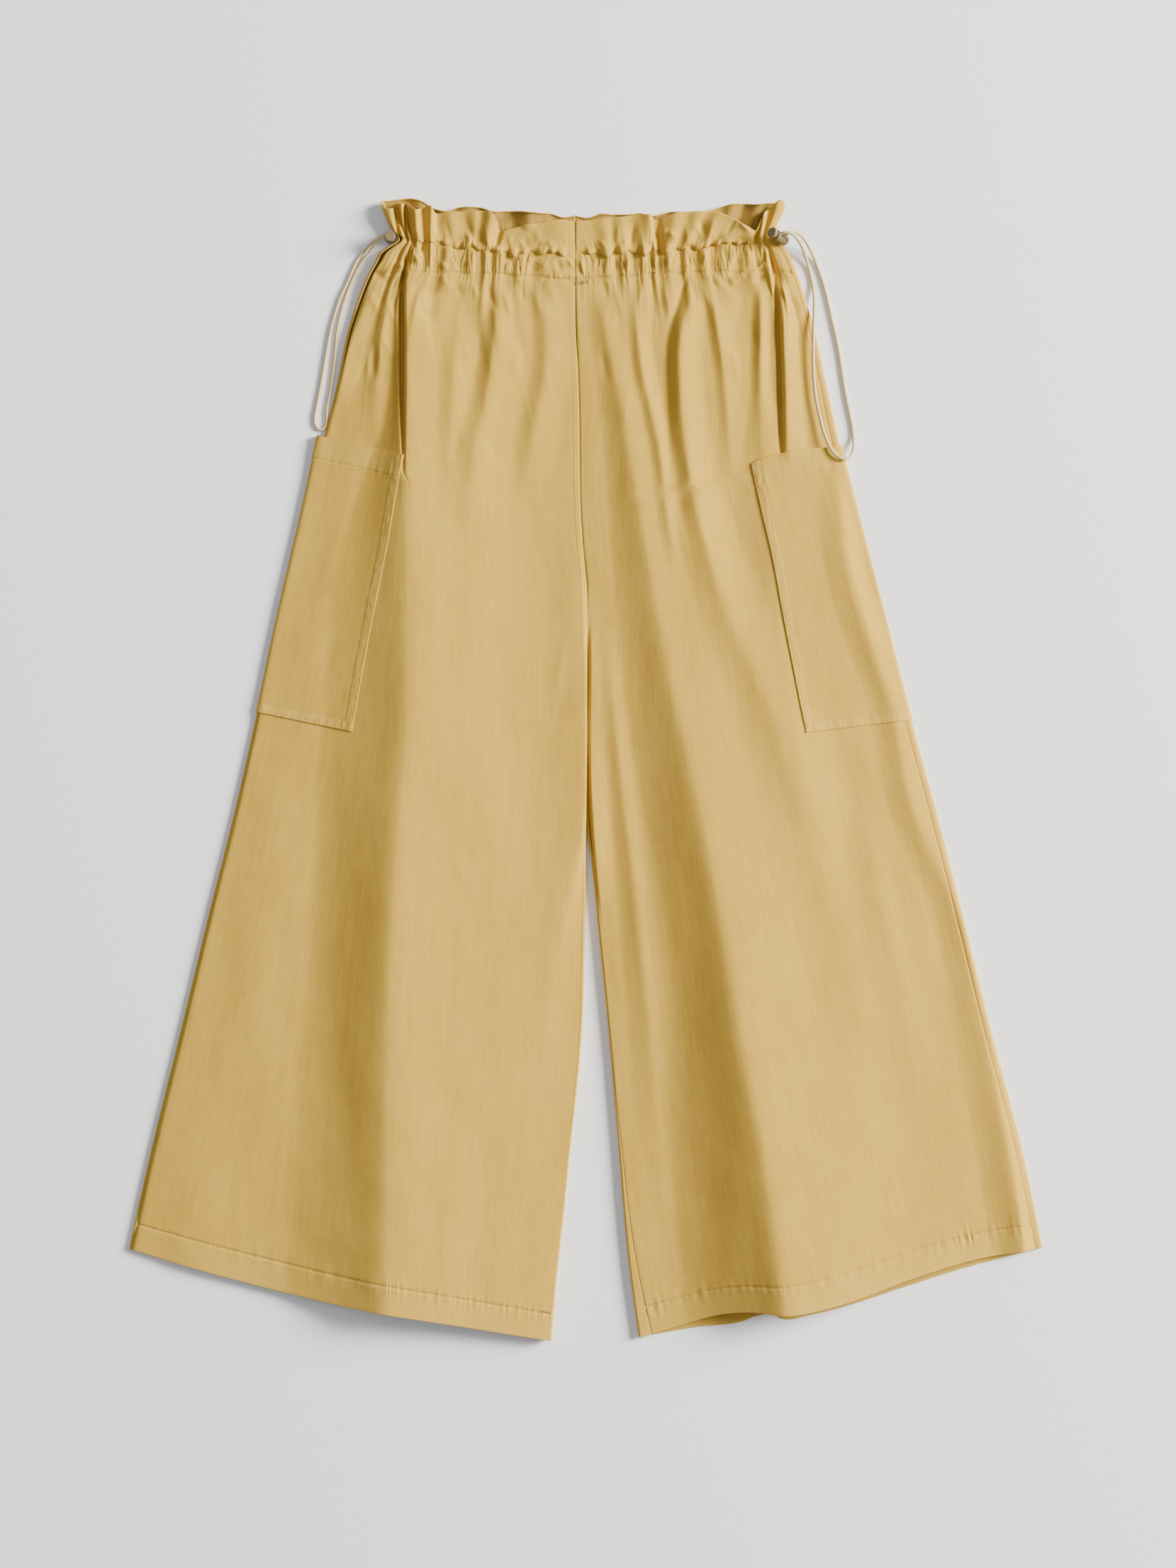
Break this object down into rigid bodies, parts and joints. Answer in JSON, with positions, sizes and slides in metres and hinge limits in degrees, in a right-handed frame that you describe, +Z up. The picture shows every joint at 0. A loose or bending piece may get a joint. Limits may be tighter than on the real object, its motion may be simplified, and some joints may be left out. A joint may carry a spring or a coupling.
{
  "type": "culottes",
  "caption": "Wide-leg cotton culottes laid flat, with a gathered paper-bag waist, wrapped patch pockets, and an elastic cord loop in a cord lock at each side.",
  "frame": {"origin": "middle of the garment's outline on the surface that it lies on, cords left out", "axes": "+X across the garment, +Y from the hems to the waist, +Z up off the surface, the side without the cord loops facing down"},
  "size_m": [0.7097, 0.8864, 0.0264],
  "materials": {
    "cloth": "plain-weave cotton, soft and matte, ochre tan",
    "cord": "round braided elastic cord, pale beige",
    "lock": "satin moulded plastic, olive khaki"
  },
  "bodies": {
    "root": {"front_left": "cloth", "front_right": "cloth", "back_left": "cloth", "back_right": "cloth", "pocket_left": "cloth", "pocket_right": "cloth", "lock_barrel_left": "lock", "lock_button_left": "lock", "lock_barrel_right": "lock", "lock_button_right": "lock", "cord_left": "cord", "cord_right": "cord"}
  },
  "joints": []
}
